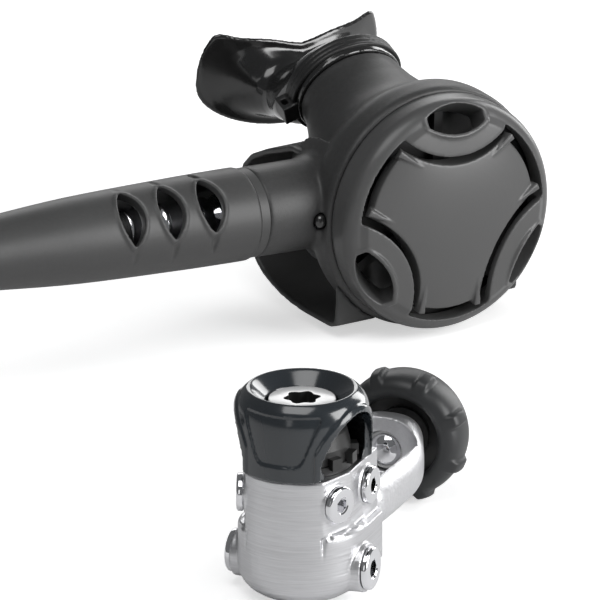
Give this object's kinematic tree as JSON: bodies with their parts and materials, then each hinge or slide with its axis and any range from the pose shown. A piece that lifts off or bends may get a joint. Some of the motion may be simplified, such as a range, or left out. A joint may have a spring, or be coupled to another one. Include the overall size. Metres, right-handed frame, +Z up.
{
  "type": "scuba regulator set",
  "caption": "Diving regulator: second stage with purge button, mouthpiece and exhaust tee, its hose, and a yoke-type first stage with plugged ports.",
  "frame": {"origin": "centre of the first stage's flat foot, on the surface the set lies on", "axes": "+Z up the first stage's body; +Y from the second stage's cover towards its mouthpiece; +X from the hose towards the valve's far end"},
  "size_m": [0.3928, 0.3407, 0.0798],
  "materials": {
    "satin_black_plastic": "satin, finely grained",
    "rubber_black": "matt",
    "hose_rubber": "satin",
    "silicone_black": "glossy",
    "silicone_smoke": "satin, slightly clear",
    "chrome": "polished",
    "pearl_chrome": "satin, brushed",
    "cap_grey": "satin, dark blue-grey",
    "brass": "machined",
    "stainless": "drawn wire and turned",
    "bronze_filter": "sintered",
    "white_nylon": "satin"
  },
  "bodies": {
    "root": {"case": "satin_black_plastic", "front_cover": "satin_black_plastic", "purge_spring": "stainless", "retaining_ring": "satin_black_plastic", "diaphragm": "silicone_smoke", "valve_barrel": "chrome", "poppet_spring": "stainless", "orifice": "chrome", "orifice_o_ring": "rubber_black", "balance_cap": "satin_black_plastic", "exhaust_valve": "silicone_smoke", "exhaust_tee": "satin_black_plastic", "mouthpiece": "silicone_black", "mouthpiece_tie": "satin_black_plastic", "cover_lock_pin": "satin_black_plastic", "inlet_collar": "satin_black_plastic", "hose_nut": "chrome", "hose_stem": "chrome", "hose_ferrule": "chrome", "hose_protector": "rubber_black", "hose": "hose_rubber", "hose_coil": "hose_rubber", "hose_end_ferrule": "chrome", "hose_end_fitting": "chrome", "hose_end_o_ring": "rubber_black", "first_stage_body": "pearl_chrome", "top_cap": "cap_grey", "spring_carrier": "satin_black_plastic", "main_spring": "stainless", "main_diaphragm": "rubber_black", "high_pressure_spring": "stainless", "valve_crown": "brass", "low_pressure_plugs": "chrome", "low_pressure_o_rings": "rubber_black", "high_pressure_plugs": "chrome", "high_pressure_o_rings": "rubber_black", "yoke": "pearl_chrome", "inlet_connector": "chrome", "inlet_filter": "bronze_filter", "filter_clip": "stainless"},
    "button": {"purge_button": "satin_black_plastic"},
    "diaphragm_centre": {"diaphragm_disc": "white_nylon"},
    "lever": {"demand_lever": "stainless"},
    "valve_poppet": {"poppet": "white_nylon", "poppet_nut": "stainless", "poppet_seat": "rubber_black"},
    "screw_slide": {"screw_clip": "stainless"},
    "knob": {"yoke_screw": "chrome", "knob_hub": "satin_black_plastic", "knob_grip": "rubber_black"},
    "adjuster_slide": {"spring_pad": "stainless"},
    "adjuster": {"adjusting_screw": "chrome"},
    "valve_train": {"diaphragm_plate": "brass", "push_pin": "stainless", "high_pressure_poppet": "brass", "high_pressure_seat": "white_nylon"}
  },
  "joints": [
    {"name": "purge_press", "type": "slide", "parent": "root", "child": "button", "axis": [0, 1, 0], "range_m": [0, 0.0035], "stiffness_N_per_m": 300, "springref_m": -0.002, "deforming": ["purge_spring"]},
    {"name": "diaphragm_press", "type": "slide", "parent": "root", "child": "diaphragm_centre", "axis": [0, 1, 0], "range_m": [0, 0.0035], "deforming": ["diaphragm"]},
    {"name": "lever_tilt", "type": "hinge", "parent": "root", "child": "lever", "pos_m": [0.16505, 0.1816, 0.03946], "axis": [-0.0436, 0, -0.999], "range_deg": [0, 14.9]},
    {"name": "poppet_lift", "type": "slide", "parent": "root", "child": "valve_poppet", "axis": [0.999, 0, -0.0436], "range_m": [0, 0.00145], "deforming": ["poppet_spring"]},
    {"name": "screw_travel", "type": "slide", "parent": "root", "child": "screw_slide", "axis": [0.7986, 0.6018, 0], "range_m": [-0.007, 0.003]},
    {"name": "knob_turn", "type": "hinge", "parent": "screw_slide", "child": "knob", "pos_m": [0.06389, 0.04815, 0.02], "axis": [0.7986, 0.6018, 0], "range_deg": [-1262, 542]},
    {"name": "adjuster_travel", "type": "slide", "parent": "root", "child": "adjuster_slide", "axis": [0, 0, 1], "range_m": [-0.00125, 0.00125], "deforming": ["main_spring"]},
    {"name": "adjuster_turn", "type": "hinge", "parent": "adjuster_slide", "child": "adjuster", "pos_m": [0, 0, 0.055], "axis": [0, 0, 1], "range_deg": [-361, 361]},
    {"name": "valve_lift", "type": "slide", "parent": "root", "child": "valve_train", "axis": [0, 0, -1], "range_m": [0, 0.0006], "stiffness_N_per_m": 4000, "springref_m": -0.0004, "deforming": ["main_diaphragm", "high_pressure_spring"]}
  ],
  "couplings": [
    {"joint": "diaphragm_press", "follows": "purge_press", "ratio": 1},
    {"joint": "lever_tilt", "follows": "purge_press", "rad_per_m": 73.8},
    {"joint": "poppet_lift", "follows": "purge_press", "ratio": 0.4},
    {"joint": "knob_turn", "follows": "screw_travel", "rad_per_m": 3141.6},
    {"joint": "adjuster_turn", "follows": "adjuster_travel", "rad_per_m": 5026.5}
  ]
}
